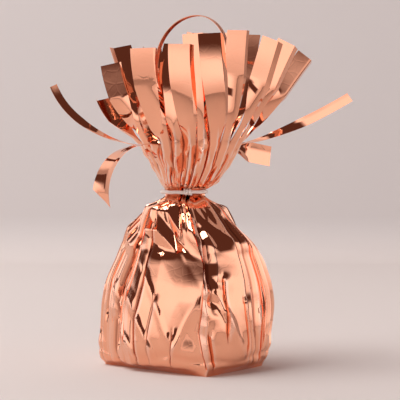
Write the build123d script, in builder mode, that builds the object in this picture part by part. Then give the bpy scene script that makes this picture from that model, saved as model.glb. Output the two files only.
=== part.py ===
"""Foil balloon weight: a pleated bag of metallised film round a pouch of sand, tied at the neck.

Above the tie the film flares into a collar, which is slit into a fringe of strips.
A narrow ribbon loop, held by the neck, stands above the fringe and takes the balloon's ribbon.

Frame: origin at the middle of the base, +Z up, +X along the base's long side. Millimetres and degrees.
"""

import os
from math import cos, degrees, pi, radians, sin

from build123d import *

# Film, and the room that pieces leave each other
film = 0.3
slit_gap = 1.0
running_gap = 0.35
packing_gap = 0.4

# Bag: a block-bottom bag, filled up to its shoulder and gathered above it
base_length = 56.0
base_width = 38.5
heel_height = 5.0
heel_length = 59.0
heel_width = 42.5
shoulder_height = 31.0
shoulder_length = 61.5
shoulder_width = 45.5
tie_height = 74.5
neck_diameter = 18.0
neck_length = 2.6
swell = 3.6
swell_bearing = 38.0

# Collar: the film above the tie, open at its rim, where the slits of the fringe end
collar_height = 19.5
rim_length = 44.0
rim_width = 36.0
collar_floor_rise = 0.8

# Fringe strips
strip_length = 50.0
strip_width = 11.0
strip_crease = 1.1
root_crease = 0.2

# Contents
card_thickness = 1.2
card_margin = 3.0
pouch_film = 0.25
pouch_headroom = 5.0
seal_length = 26.0
seal_height = 6.0
seal_thickness = 0.8

# Tie
tie_diameter = 1.3
tie_gap = 0.1
knot_diameter = 2.8
knot_wraps = 3
knot_wrap_width = 1.1
knot_wrap_gap = 0.15
knot_edge_radius = 0.45
knot_bearing = -43.0

# Ribbon loop
ribbon_width = 2.2
ribbon_thickness = 0.3

# How the levels of the bag and collar run between the named ones:
# share of the rise, share of the way from the smaller size to the larger, roundness, pleat depth, swell
DOME_SHARES = [
    (0.19, 0.925, 0.26, 0.020, 0.90),
    (0.42, 0.800, 0.42, 0.050, 0.55),
    (0.64, 0.620, 0.62, 0.085, 0.25),
    (0.83, 0.390, 0.82, 0.125, 0.08),
    (0.95, 0.165, 0.95, 0.165, 0.0),
]
COLLAR_SHARES = [
    (0.22, 0.150, 1.0, 0.185, 0.0),
    (0.58, 0.560, 1.0, 0.155, 0.0),
]
base_round_share = 0.06
heel_round_share = 0.10
shoulder_round_share = 0.14
heel_swell_share = 0.20
neck_pleat_share = 0.17
rim_pleat_share = 0.13

# Pleats: each has two steps of the outline, a ridge and a valley, and carries one strip of the fringe
PLEATS = 22
LONG_SIDE_STEPS = 12
SHORT_SIDE_STEPS = 10

# The fringe, strip by strip round the rim from the front right corner of the bag.
# A strip leans out from upright by the first angle at its root and by the second at its tip.
# Aim turns the way it leans from straight out, and twist turns its face. The last value is a length share.
FRINGE_SHARES = [
    (0.0, 9.0, 30.0, -24.0, 0.84),
    (28.0, 8.0, -4.0, -6.0, 0.86),
    (8.0, 24.0, 2.0, -30.0, 0.93),
    (34.0, 18.0, 0.0, 10.0, 0.92),
    (22.0, 38.0, 2.0, -46.0, 0.95),
    (58.0, 36.0, 2.0, -40.0, 0.98),
    (76.0, 60.0, -8.0, 22.0, 1.19),
    (22.0, 12.0, 0.0, 30.0, 1.06),
    (94.0, 99.0, -22.0, 36.0, 0.64),
    (18.0, 6.0, -40.0, 34.0, 1.06),
    (4.0, 12.0, -60.0, 44.0, 1.05),
    (28.0, 10.0, 0.0, -10.0, 0.88),
    (2.0, 16.0, 0.0, -12.0, 0.92),
    (32.0, 10.0, 0.0, 0.0, 0.88),
    (6.0, 20.0, 0.0, -35.0, 0.92),
    (46.0, 20.0, 4.0, -30.0, 0.50),
    (66.0, 42.0, 0.0, 22.0, 0.89),
    (28.0, 2.0, 0.0, 40.0, 0.74),
    (74.0, 178.0, 10.0, 18.0, 0.80),
    (30.0, 8.0, 0.0, -15.0, 0.77),
    (0.0, 16.0, -40.0, 36.0, 0.76),
    (28.0, 6.0, -8.0, 0.0, 0.79),
]
STATION_SHARES = [0.0, 0.15, 0.30, 0.45, 0.60, 0.80, 1.0]
flare_share = 0.60

# The ribbon loop's route in its own upright plane: along the base's long side, and up from the collar's floor
RIBBON_ROUTE = [
    (-3.0, 0.0),
    (-6.5, 14.0),
    (-11.5, 30.0),
    (-16.0, 47.0),
    (-14.0, 62.0),
    (-4.0, 71.5),
    (10.0, 73.5),
    (21.0, 67.0),
    (25.5, 54.0),
    (21.5, 38.0),
    (14.0, 22.0),
    (7.0, 10.0),
    (3.5, 0.0),
]

neck_bottom = tie_height - neck_length / 2
neck_top = tie_height + neck_length / 2
collar_floor = neck_top + collar_floor_rise
rim_height = tie_height + collar_height


def between(small, large, share):
    """A size that lies between two others."""
    return small + (large - small) * share


def ridge_angle(step):
    """Bearing of a step of the outline; step 0 is the bag's front right corner."""
    return -pi / 2 + 2 * pi * (LONG_SIDE_STEPS / 2 + step) / (2 * PLEATS)


def rectangle_shares(step):
    """The same step on a rectangle, as shares of its half length and half width."""
    right = 2 * step / SHORT_SIDE_STEPS - 1
    if step <= SHORT_SIDE_STEPS:
        return 1, right
    step -= SHORT_SIDE_STEPS
    if step <= LONG_SIDE_STEPS:
        return 1 - 2 * step / LONG_SIDE_STEPS, 1
    step -= LONG_SIDE_STEPS
    if step <= SHORT_SIDE_STEPS:
        return -1, 1 - 2 * step / SHORT_SIDE_STEPS
    return 2 * (step - SHORT_SIDE_STEPS) / LONG_SIDE_STEPS - 1, -1


def outline(length, width, round_share, pleat_share, swell_share=0.0):
    """One level of the film: a rectangle eased towards an ellipse, with every second point drawn in.

    The swell carries the points on one side outwards, where the sand has slumped.
    """
    points = []
    swell_way = Vector(cos(radians(swell_bearing)), sin(radians(swell_bearing)))
    reach = swell_way.X * length / 2 + swell_way.Y * width / 2
    for step in range(2 * PLEATS):
        angle = ridge_angle(step)
        along, across = rectangle_shares(step)
        x = between(along, cos(angle), round_share) * length / 2
        y = between(across, sin(angle), round_share) * width / 2
        drawn_in = 1 - pleat_share * (step % 2)
        point = Vector(x * drawn_in, y * drawn_in)
        side_share = max(0.0, point.dot(swell_way) / reach)
        points.append(point + swell_way * (swell * swell_share * side_share))
    return points


def pleated_solid(levels, inset=0.0):
    """A solid with straight pleats through its levels, drawn in all round by the inset."""
    with BuildPart() as solid:
        for height, length, width, *shape_shares in levels:
            with BuildSketch(Plane.XY.offset(height)):
                with BuildLine():
                    points = outline(length - 2 * inset, width - 2 * inset, *shape_shares)
                    Polyline(*points, close=True)
                make_face()
        loft(ruled=True)
    return solid.part


# Levels of the film from the base up to the tie, and on from the tie to the rim
bag_levels = [
    (0.0, base_length, base_width, base_round_share, 0.0, 0.0),
    (heel_height, heel_length, heel_width, heel_round_share, 0.0, heel_swell_share),
    (shoulder_height, shoulder_length, shoulder_width, shoulder_round_share, 0.0, 1.0),
]
for rise, size_share, *shape_shares in DOME_SHARES:
    bag_levels.append(
        (
            between(shoulder_height, neck_bottom, rise),
            between(neck_diameter, shoulder_length, size_share),
            between(neck_diameter, shoulder_width, size_share),
            *shape_shares,
        )
    )
neck_levels = [
    (neck_bottom, neck_diameter, neck_diameter, 1.0, neck_pleat_share, 0.0),
    (neck_top, neck_diameter, neck_diameter, 1.0, neck_pleat_share, 0.0),
]
collar_levels = []
for rise, size_share, *shape_shares in COLLAR_SHARES:
    collar_levels.append(
        (
            between(neck_top, rim_height, rise),
            between(neck_diameter, rim_length, size_share),
            between(neck_diameter, rim_width, size_share),
            *shape_shares,
        )
    )
collar_levels.append((rim_height, rim_length, rim_width, 1.0, rim_pleat_share, 0.0))


def level_at(levels, height):
    """The level that a straight pleat has at some height between two of these levels."""
    for low, high in zip(levels, levels[1:]):
        if height <= high[0]:
            share = (height - low[0]) / (high[0] - low[0])
            return tuple(between(a, b, share) for a, b in zip(low, high))
    return levels[-1]


def inside_of(levels, floor, top):
    """The same levels, cut off at a floor and a top."""
    kept = [level for level in levels if floor < level[0] < top]
    return [level_at(levels, floor), *kept, level_at(levels, top)]


# Foil wrapper: one film, with a closed bag below the bunched neck and an open collar above it
cavity_top = bag_levels[-1][0]
with BuildPart() as foil_wrapper:
    add(pleated_solid(bag_levels + neck_levels + collar_levels))
    add(pleated_solid(inside_of(bag_levels, film, cavity_top), film), mode=Mode.SUBTRACT)
    collar_inside = [neck_levels[-1], *collar_levels]
    add(pleated_solid(inside_of(collar_inside, collar_floor, rim_height), film), mode=Mode.SUBTRACT)
foil_wrapper.part.label = "foil_wrapper"

# Base card: keeps the bag's bottom flat
with BuildPart() as base_card:
    with BuildSketch(Plane.XY.offset(film)):
        RectangleRounded(base_length - 2 * card_margin, base_width - 2 * card_margin, card_margin)
    extrude(amount=card_thickness)
base_card.part.label = "base_card"

# Sand pouch: a plain film bag that stands on the card, closed by a flat heat seal
pouch_floor = film + card_thickness
pouch_inset = film + packing_gap
pouch_height = cavity_top - pouch_headroom - seal_height
with BuildPart() as sand_pouch:
    add(pleated_solid(inside_of(bag_levels, pouch_floor, pouch_height), pouch_inset))
    with BuildSketch(Plane.XY.offset(pouch_height)):
        Rectangle(seal_length, seal_thickness)
    extrude(amount=seal_height)
    sand_room = inside_of(bag_levels, pouch_floor + pouch_film, pouch_height - pouch_film)
    add(pleated_solid(sand_room, pouch_inset + pouch_film), mode=Mode.SUBTRACT)
sand_pouch.part.label = "sand_pouch"

# Sand: fills the pouch and does the weighing down
sand_floor = pouch_floor + pouch_film
sand_top = pouch_height - pouch_film - packing_gap
with BuildPart() as sand_ballast:
    add(pleated_solid(inside_of(bag_levels, sand_floor, sand_top), pouch_inset + pouch_film + packing_gap))
sand_ballast.part.label = "sand_ballast"

# Neck tie: one turn of cord pulled tight on the pleats, with a barrel knot at the front
tie_turn_radius = neck_diameter / 2 + tie_gap + tie_diameter / 2
knot_place_radius = neck_diameter / 2 + tie_gap + knot_diameter / 2
knot_side = Location((0, 0, tie_height), (0, 0, knot_bearing))
with BuildPart() as neck_tie:
    for wrap in range(knot_wraps):
        off_middle = (wrap - (knot_wraps - 1) / 2) * (knot_wrap_width + knot_wrap_gap)
        with Locations(knot_side * Location((knot_place_radius, off_middle, 0), (90, 0, 0))):
            Cylinder(knot_diameter / 2, knot_wrap_width)
    fillet(neck_tie.edges().filter_by(GeomType.CIRCLE), knot_edge_radius)
    with BuildSketch(Plane.XZ):
        with Locations((tie_turn_radius, tie_height)):
            Circle(tie_diameter / 2)
    revolve(axis=Axis.Z)
neck_tie.part.label = "neck_tie"


# Ribbon loop: a flat ribbon bent into an arch, its two ends pinched at the collar's floor
def largest_radii(points):
    """For each inner corner of a route, 0.45 of its shorter run over the tangent of half its turn."""
    radii = []
    for before, corner, after in zip(points, points[1:], points[2:]):
        run_in = Vector(*corner) - Vector(*before)
        run_out = Vector(*after) - Vector(*corner)
        half_turn = radians(run_in.get_angle(run_out)) / 2
        shorter = min(run_in.length, run_out.length)
        radii.append(0.45 * shorter * cos(half_turn) / sin(half_turn))
    return radii


ribbon_radii = largest_radii(RIBBON_ROUTE)
ribbon_foot = Vector(0, ribbon_width / 2, collar_floor + running_gap)
ribbon_plane = Plane(origin=ribbon_foot, x_dir=(1, 0, 0), z_dir=(0, -1, 0))
with BuildPart() as ribbon_loop:
    with BuildSketch(ribbon_plane):
        with BuildLine() as ribbon_route:
            FilletPolyline(*RIBBON_ROUTE, radius=ribbon_radii)
        trace(line_width=ribbon_thickness)
    extrude(amount=ribbon_width)
ribbon_loop.part.label = "ribbon_loop"
ribbon_length = sum(edge.length for edge in ribbon_route.edges())
ribbon_volume = ribbon_length * ribbon_width * ribbon_thickness
print("ribbon radii", [round(radius, 1) for radius in ribbon_radii])
print("ribbon length", round(ribbon_length, 1), "volume", round(ribbon_loop.part.volume / ribbon_volume, 4))


# Fringe: every strip starts over its own ridge of the rim
rim_outline = outline(rim_length - film, rim_width - film, 1.0, rim_pleat_share)


def strip_root(number):
    """Where a strip leaves the rim: the point, its bearing straight out, and the width between its slits."""
    step = 2 * number
    point = rim_outline[step]
    pitch = (rim_outline[(step + 1) % (2 * PLEATS)] - rim_outline[step - 1]).length
    return Vector(point.X, point.Y, rim_height + running_gap + film / 2), ridge_angle(step), pitch - slit_gap


def strip_directions(number):
    """The level way a strip leans, and the level line that it folds about at its root."""
    aim = ridge_angle(2 * number) + radians(FRINGE_SHARES[number][2])
    return Vector(cos(aim), sin(aim), 0), Vector(-sin(aim), cos(aim), 0)


def strip_plane(number, share):
    """The plane across a strip at a share of its length: X across the strip, Z along it."""
    lean_root, lean_tip, _, twist, length_share = FRINGE_SHARES[number]
    root = strip_root(number)[0]
    out, across = strip_directions(number)
    lean_root, lean_tip = radians(lean_root), radians(lean_tip)
    bend_radius = length_share * strip_length / (lean_tip - lean_root)
    lean = between(lean_root, lean_tip, share)
    reach = bend_radius * (cos(lean_root) - cos(lean))
    rise = bend_radius * (sin(lean) - sin(lean_root))
    along = out * sin(lean) + Vector(0, 0, cos(lean))
    turned = across.rotate(Axis((0, 0, 0), along), twist * min(1.0, share / flare_share))
    return Plane(origin=root + out * reach + Vector(0, 0, rise), x_dir=turned, z_dir=along)


def creased_section(width, crease):
    """A strip's section: film folded once along its middle, out or in by the sign of the crease."""
    half, fold, skin = width / 2, crease / 2, film / 2
    outside = [(-half, fold - skin), (0, -fold - skin), (half, fold - skin)]
    inside = [(half, fold + skin), (0, skin - fold), (-half, fold + skin)]
    return outside + inside


def fringe_strip(number):
    """One strip: narrow at its root, widening into a tongue whose fold faces out and in by turns."""
    root_width = strip_root(number)[2]
    fold_side = 1 - 2 * (number % 2)
    with BuildPart() as strip:
        for share in STATION_SHARES:
            opened = min(1.0, share / flare_share)
            with BuildSketch(strip_plane(number, share)):
                with BuildLine():
                    width = between(root_width, strip_width, opened)
                    crease = fold_side * between(root_crease, strip_crease, opened)
                    Polyline(*creased_section(width, crease), close=True)
                make_face()
        loft(ruled=True)
    strip.part.label = f"fringe_strip_{number + 1:02d}"
    return strip.part


fringe = [fringe_strip(number) for number in range(PLEATS)]

os.makedirs("parts", exist_ok=True)
export_step(foil_wrapper.part, "parts/foil_wrapper.step")
export_step(base_card.part, "parts/base_card.step")
export_step(sand_pouch.part, "parts/sand_pouch.step")
export_step(sand_ballast.part, "parts/sand_ballast.step")
export_step(neck_tie.part, "parts/neck_tie.step")
export_step(ribbon_loop.part, "parts/ribbon_loop.step")
for strip in fringe:
    export_step(strip, f"parts/{strip.label}.step")
print("sand volume", round(sand_ballast.part.volume / 1000, 1), "cubic centimetres")
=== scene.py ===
# %% [markdown]
# # A foil balloon weight
# A small bag of sand is wrapped in one sheet of rose-gold metallised film. The film is tied at the neck,
# and above the tie it is slit into a fringe of strips. A ribbon loop takes the balloon's ribbon.
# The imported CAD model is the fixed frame: every piece below is made in its metres, round its bodies.

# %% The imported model
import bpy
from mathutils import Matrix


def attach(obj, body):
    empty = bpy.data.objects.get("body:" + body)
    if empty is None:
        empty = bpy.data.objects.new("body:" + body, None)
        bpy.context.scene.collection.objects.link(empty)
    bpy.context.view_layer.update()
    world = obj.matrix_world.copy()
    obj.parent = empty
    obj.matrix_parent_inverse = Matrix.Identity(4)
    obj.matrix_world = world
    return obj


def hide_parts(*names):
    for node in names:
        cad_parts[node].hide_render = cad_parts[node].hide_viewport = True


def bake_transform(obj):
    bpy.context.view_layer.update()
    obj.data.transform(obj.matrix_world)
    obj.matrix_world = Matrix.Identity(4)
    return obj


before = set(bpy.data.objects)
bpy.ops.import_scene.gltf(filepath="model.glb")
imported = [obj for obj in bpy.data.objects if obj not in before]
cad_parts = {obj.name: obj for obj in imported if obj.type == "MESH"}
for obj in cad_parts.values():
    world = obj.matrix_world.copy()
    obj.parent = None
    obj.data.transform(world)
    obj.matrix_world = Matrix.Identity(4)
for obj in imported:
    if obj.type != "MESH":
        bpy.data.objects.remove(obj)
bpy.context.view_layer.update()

import math

import bpy
import numpy as np
from mathutils import Vector

# %% [markdown]
# ## The camera
# The photograph looks at the bag's front corner, level with its neck, from about half a metre.
# A long lens at that distance keeps the upright edges nearly parallel. The camera could be aimed with a
# constraint, but a place and a turn that are written down are easier to check against the picture.

# %% The camera
CAMERA_AZIMUTH = math.radians(38.4)
CAMERA_DISTANCE = 0.474
CAMERA_HEIGHT = 0.0732
CAMERA_PITCH = math.radians(-0.26)
CAMERA_SIDESTEP = 0.0073
CAMERA_LENS = 99.0
CAMERA_SENSOR = 36.0
CAMERA_CLIP_START = 0.01

UP = Vector((0.0, 0.0, 1.0))
TO_CAMERA = Vector((math.sin(CAMERA_AZIMUTH), -math.cos(CAMERA_AZIMUTH), 0.0))
TO_RIGHT = Vector((math.cos(CAMERA_AZIMUTH), math.sin(CAMERA_AZIMUTH), 0.0))

bpy.ops.object.select_all(action="DESELECT")
bpy.ops.object.camera_add(
    location=TO_CAMERA * CAMERA_DISTANCE + TO_RIGHT * CAMERA_SIDESTEP + UP * CAMERA_HEIGHT,
    rotation=(math.pi / 2 + CAMERA_PITCH, 0.0, CAMERA_AZIMUTH),
)
camera = bpy.context.object
camera.data.lens = CAMERA_LENS
camera.data.sensor_width = CAMERA_SENSOR
camera.data.clip_start = CAMERA_CLIP_START
bpy.context.scene.camera = camera
bpy.context.scene.view_settings.view_transform = "Standard"
print("camera at", [round(value, 3) for value in camera.location])

# %% [markdown]
# ## Shader sums in plain Python
# A finish is a small graph of nodes. Wiring each Math node by hand hides the idea, so one class wraps
# a socket and lets Python's operators add the nodes, and one method makes every other kind of node.

# %% Wires and finishes
class Wire:
    """A shader value that Python's operators work on: each operation adds one Math node."""

    def __init__(self, finish, socket):
        self.finish = finish
        self.socket = socket

    def sibling(self, name):
        return Wire(self.finish, self.socket.node.outputs[name])

    def sum(self, operation, first, second=0.0):
        return self.finish.node("ShaderNodeMath", {"operation": operation}, {0: first, 1: second})

    def __add__(self, other):
        return self.sum("ADD", self, other)

    def __sub__(self, other):
        return self.sum("SUBTRACT", self, other)

    def __rsub__(self, other):
        return self.sum("SUBTRACT", other, self)

    def __mul__(self, other):
        return self.sum("MULTIPLY", self, other)

    __radd__ = __add__
    __rmul__ = __mul__


class Finish:
    """A material, or the world's light, as a graph of nodes."""

    def __init__(self, owner):
        owner.use_nodes = True
        self.owner = owner
        self.tree = owner.node_tree
        self.tree.nodes.clear()

    def node(self, kind, settings=None, sockets=None, output=0):
        made = self.tree.nodes.new(kind)
        for name, value in (settings or {}).items():
            if name == "stops":
                self.set_stops(made.color_ramp, value)
            else:
                setattr(made, name, value)
        for name, value in (sockets or {}).items():
            if isinstance(value, Wire):
                self.tree.links.new(value.socket, made.inputs[name])
            else:
                made.inputs[name].default_value = value
        return Wire(self, made.outputs[output]) if made.outputs else made

    @staticmethod
    def set_stops(ramp, stops):
        while len(ramp.elements) < len(stops):
            ramp.elements.new(0.5)
        for element, (place, colour) in zip(ramp.elements, stops):
            element.position = place
            element.color = (*colour, 1.0)

    def place(self, kind="Object"):
        return self.node("ShaderNodeTexCoord", output=kind)

    def noise(self, vector, scale, detail):
        return self.node("ShaderNodeTexNoise", None, {"Vector": vector, "Scale": scale, "Detail": detail})

    def rise(self, value, low, high, start=0.0, end=1.0):
        sockets = {"Value": value, "From Min": low, "From Max": high, "To Min": start, "To Max": end}
        return self.node("ShaderNodeMapRange", {"interpolation_type": "SMOOTHSTEP"}, sockets)

    def bump(self, height, depth, strength=1.0):
        sockets = {"Strength": strength, "Distance": depth, "Height": height}
        return self.node("ShaderNodeBump", None, sockets)

    def mix(self, share, first, second):
        return self.node("ShaderNodeMix", {"data_type": "RGBA"}, {0: share, 6: first, 7: second}, output=2)

    def surface(self, sockets):
        shader = self.node("ShaderNodeBsdfPrincipled", None, sockets)
        self.node("ShaderNodeOutputMaterial", None, {"Surface": shader})
        return self.owner


def new_finish(name):
    return Finish(bpy.data.materials.new(name))


print("wires and finishes ready")

# %% [markdown]
# ## The stage
# A pale sweep: a floor that turns up into a wall behind the object. It could be two planes, but a plane
# whose far edge is pulled up and bevelled gives the soft line that the photograph shows behind the bag.

# %% The floor and the wall
FLOOR_HALF = 3.0
WALL_BEHIND = 0.73
WALL_HEIGHT = 3.0
SWEEP_RADIUS = 0.05
SWEEP_SEGMENTS = 10

bpy.ops.object.select_all(action="DESELECT")
bpy.ops.mesh.primitive_plane_add(size=2 * FLOOR_HALF)
stage = bpy.context.object
stage.name = "sweep"
for corner in stage.data.vertices:
    if corner.co.y > 0:
        corner.co.y = WALL_BEHIND


def select_edges(wanted):
    """Selects the stage's edges with both ends where they are wanted, and stays in edit mode."""
    bpy.ops.object.mode_set(mode="EDIT")
    bpy.ops.mesh.select_mode(type="EDGE")
    bpy.ops.mesh.select_all(action="DESELECT")
    bpy.ops.object.mode_set(mode="OBJECT")
    for edge in stage.data.edges:
        edge.select = all(wanted(stage.data.vertices[end].co) for end in edge.vertices)
    bpy.ops.object.mode_set(mode="EDIT")


select_edges(lambda end: end.y > 0)
bpy.ops.mesh.extrude_region_move(TRANSFORM_OT_translate={"value": (0.0, 0.0, WALL_HEIGHT)})
select_edges(lambda end: end.y > 0 and end.z == 0)
bpy.ops.mesh.bevel(offset=SWEEP_RADIUS, segments=SWEEP_SEGMENTS)
bpy.ops.object.mode_set(mode="OBJECT")
stage.rotation_euler.z = CAMERA_AZIMUTH
bpy.ops.object.transform_apply(location=False, rotation=True, scale=False)
bpy.ops.object.shade_smooth()

# The sweep is one paper, but its wall is painted darker than its floor, as painted shade; random flecks of
# tone run through both.
LIT_FLOOR_COLOUR = (0.778, 0.704, 0.678, 1.0)
SHADED_WALL_COLOUR = (0.730, 0.690, 0.681, 1.0)
FLECK_SHARE = 0.06
FLECK_SCALE = 6.0
FLECK_DETAIL = 3.0
PAPER_ROUGHNESS = 0.85
paper = new_finish("pale_paper")
paper_place = paper.place()
paper_level = paper.node("ShaderNodeSeparateXYZ", None, {0: paper_place}, output="Z")
paper_fleck = paper.noise(paper_place, FLECK_SCALE, FLECK_DETAIL)
wall_shade_and_fleck_share = paper.rise(paper_level, 0.0, SWEEP_RADIUS) + (paper_fleck - 0.5) * FLECK_SHARE
paper_colour_with_wall_shade = paper.mix(wall_shade_and_fleck_share, LIT_FLOOR_COLOUR, SHADED_WALL_COLOUR)
stage.data.materials.append(paper.surface({"Base Color": paper_colour_with_wall_shade, "Roughness": PAPER_ROUGHNESS}))
print("sweep faces", len(stage.data.polygons))

# %% [markdown]
# ## The light
# Foil has hardly a colour of its own: it shows the room. A photographer puts broad white cards round it
# and leaves dark gaps between them, and the gaps draw its folds. Here the world does that:
# it is bright up to a little above the lens, dark overhead, and has dark gaps at a few bearings.
# Near the floor the cards take the floor's warm colour, so that the foil shows no hard line there.
# One soft lamp, high on the left, gives the shadow on the right. A lamp close by would do for the bag,
# but it would leave the floor dark further off, where the other views look.

# %% The room round the foil
CARD_LIGHT = 1.38
CARD_FOOT_LIGHT = 0.79
CARD_FOOT = -0.05
CARD_TOP = 0.22
CEILING_START = 0.32
CEILING_END = 0.52
GAP_COUNT = 5.0
GAP_TURN = 0.9
GAP_START = 0.62
GAP_END = 0.86
GAP_FOOT = 0.02
GAP_FULL = 0.13
CARD_COLOUR = (1.0, 0.935, 0.940, 1.0)
FOOT_COLOUR = (1.0, 0.855, 0.815, 1.0)
GAP_COLOUR = (0.100, 0.046, 0.034, 1.0)

world = bpy.data.worlds.new("room")
bpy.context.scene.world = world
room = Finish(world)
way = room.place("Generated")
level = room.node("ShaderNodeSeparateXYZ", None, {0: way}, output="Z")
bearing = level.sum("ARCTAN2", level.sibling("Y"), level.sibling("X"))
gaps = bearing.sum("COSINE", bearing * GAP_COUNT + GAP_TURN)
open_share = 1 - room.rise(gaps, GAP_START, GAP_END) * room.rise(level, GAP_FOOT, GAP_FULL)
below_ceiling = 1 - room.rise(level, CEILING_START, CEILING_END)
card_light = room.rise(level, CARD_FOOT, CARD_TOP, CARD_FOOT_LIGHT, CARD_LIGHT)
strength = open_share * below_ceiling * (card_light - 1) + 1
card_colour = room.mix(room.rise(level, CARD_FOOT, GAP_FULL), FOOT_COLOUR, CARD_COLOUR)
room_colour = room.mix(open_share * below_ceiling, GAP_COLOUR, card_colour)
lit = room.node("ShaderNodeBackground", None, {"Color": room_colour, "Strength": strength})
room.node("ShaderNodeOutputWorld", None, {"Surface": lit})
print("room light", CARD_LIGHT, "in the gaps", GAP_COLOUR[0])

# %% The lamp
LAMP_RIGHT = -1.04
LAMP_TOWARDS = 0.20
LAMP_HEIGHT = 2.14
LAMP_SIZE = 1.40
LAMP_POWER = 37.6
LAMP_COLOUR = (0.98, 1.0, 0.99)
LAMP_AIM = Vector((0.0, 0.0, 0.06))

lamp_place = TO_RIGHT * LAMP_RIGHT + TO_CAMERA * LAMP_TOWARDS + UP * LAMP_HEIGHT
bpy.ops.object.select_all(action="DESELECT")
bpy.ops.object.light_add(type="AREA", location=lamp_place)
lamp = bpy.context.object
lamp.name = "key_lamp"
lamp.data.size = LAMP_SIZE
lamp.data.energy = LAMP_POWER
lamp.data.color = LAMP_COLOUR
lamp.rotation_euler = (LAMP_AIM - lamp_place).to_track_quat("-Z", "Y").to_euler()
print("lamp at", [round(value, 2) for value in lamp_place])

# %% [markdown]
# ## The foil
# Metallised film is a thin mirror on plastic: metallic, nearly smooth, with a clear plastic face that adds
# a little white gloss. Big creases are geometry. What is left for the nodes is the fine crackle of film
# that has been handled, drawn by cell edges, and a faint cloudiness in the gloss. A crease's top is rubbed
# pale and dull, and is also painted paler as a painted highlight; its bottom is painted dark as painted
# shade, so each film carries its folds as an attribute for its finish.

# %% The foil finishes
FOIL_COLOUR = (0.985, 0.485, 0.310, 1.0)
FOIL_DEEP = (0.95, 0.415, 0.250, 1.0)
CRACKLE_SCALE = 210.0
CLOUD_SCALE = 60.0
CLOUD_DETAIL = 3.0
WARP_DETAIL = 2.0
CRACKLE_SHARE = 0.10
WARP_REACH = 0.006
BUMP_DEPTH = 0.001
COAT_SHARE = 0.3
COAT_ROUGHNESS = 0.05
FOIL_ROUGHNESS = 0.03
CLOUD_ROUGHNESS = 0.05
RIDGE_ROUGHNESS = 0.10
# Crease colours: the ridges are rubbed pale, part real wear and part painted highlight; the valleys are
# painted shade.
RIDGE_WEAR_AND_HIGHLIGHT_COLOUR = (1.0, 0.72, 0.60, 1.0)
VALLEY_SHADE_COLOUR = (0.42, 0.13, 0.07, 1.0)
VALLEY_SHARE = 0.8
FOLD_SHARE = 0.2


def foil_finish(name, crackle_depth, ripple_depth, ridge_share):
    """Metallised film, with its crackle, its ripple, painted shade in its folds' valleys and pale wear with
    a painted highlight on their ridges.
    """
    foil = new_finish(name)
    place = foil.place()
    cloud = foil.noise(place, CLOUD_SCALE, CLOUD_DETAIL)
    fold = foil.node("ShaderNodeAttribute", {"attribute_name": "fold"}, output="Fac")
    # The ridge and valley masks read the fold marks: painted highlight with pale wear on the ridges,
    # painted shade in the valleys.
    ridge = foil.rise(fold, -FOLD_SHARE, -1.0)
    valley = foil.rise(fold, FOLD_SHARE, 1.0)
    colour = foil.mix(cloud, FOIL_COLOUR, FOIL_DEEP)
    colour = foil.mix(valley * VALLEY_SHARE, colour, VALLEY_SHADE_COLOUR)
    colour = foil.mix(ridge * ridge_share, colour, RIDGE_WEAR_AND_HIGHLIGHT_COLOUR)
    stray = foil.noise(place, CLOUD_SCALE, WARP_DETAIL).sibling("Color")
    warp = foil.node("ShaderNodeVectorMath", {"operation": "SCALE"}, {0: stray, "Scale": WARP_REACH})
    warped = foil.node("ShaderNodeVectorMath", {"operation": "ADD"}, {0: place, 1: warp})
    cell_edge = foil.node("ShaderNodeTexVoronoi", {"feature": "DISTANCE_TO_EDGE"},
                          {"Vector": warped, "Scale": CRACKLE_SCALE})
    crackle = foil.rise(cell_edge, 0.0, CRACKLE_SHARE)
    height = crackle * crackle_depth + cloud * ripple_depth
    bump = foil.bump(height, BUMP_DEPTH)
    return foil.surface({
        "Base Color": colour,
        "Metallic": 1.0,
        "Roughness": cloud * CLOUD_ROUGHNESS + ridge * RIDGE_ROUGHNESS + FOIL_ROUGHNESS,
        "Coat Weight": COAT_SHARE,
        "Coat Roughness": COAT_ROUGHNESS,
        "Normal": bump,
    })


# ridge_share: how much of the pale ridge colour, part wear and part painted highlight, each film takes.
BAG_FOIL = foil_finish("bag_foil", crackle_depth=0.003, ripple_depth=0.05, ridge_share=0.35)
STRIP_FOIL = foil_finish("strip_foil", crackle_depth=0.002, ripple_depth=0.03, ridge_share=0.9)
print("foils", BAG_FOIL.name, STRIP_FOIL.name)

# %% [markdown]
# ## The ribbon loop
# A narrow flat ribbon is pinched in the neck and stands up in an arch. A plain tube would look like wire,
# so the route's smooth line is read back from a NURBS curve and a flat band is laid along it,
# its width square to the arch's plane.

# %% The ribbon's line
RIBBON_FOOT = 0.07695
RIBBON_WIDTH = 0.0022
RIBBON_THICKNESS = 0.0003
RIBBON_RESOLUTION = 10
RIBBON_ROUTE = [
    (-0.0030, 0.000), (-0.0065, 0.014), (-0.0115, 0.030), (-0.0160, 0.047), (-0.0140, 0.062),
    (-0.0040, 0.0715), (0.0100, 0.0735), (0.0210, 0.067), (0.0255, 0.054), (0.0215, 0.038),
    (0.0140, 0.022), (0.0070, 0.010), (0.0035, 0.000),
]


def smooth_line(points, resolution):
    """The points that a NURBS curve through a route's control points gives, with no thickness."""
    curve = bpy.data.curves.new("route", "CURVE")
    curve.dimensions = "3D"
    curve.resolution_u = resolution
    spline = curve.splines.new("NURBS")
    spline.points.add(len(points) - 1)
    for control, point in zip(spline.points, points):
        control.co = (*point, 1.0)
    spline.order_u = 3
    spline.use_endpoint_u = True
    holder = bpy.data.objects.new("route", curve)
    bpy.context.scene.collection.objects.link(holder)
    line = bpy.data.meshes.new_from_object(holder)
    found = np.array([vertex.co for vertex in line.vertices])
    bpy.data.objects.remove(holder)
    bpy.data.meshes.remove(line)
    return found


ribbon_line = smooth_line([(x, 0.0, RIBBON_FOOT + rise) for x, rise in RIBBON_ROUTE], RIBBON_RESOLUTION)
print("ribbon points", len(ribbon_line))

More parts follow.
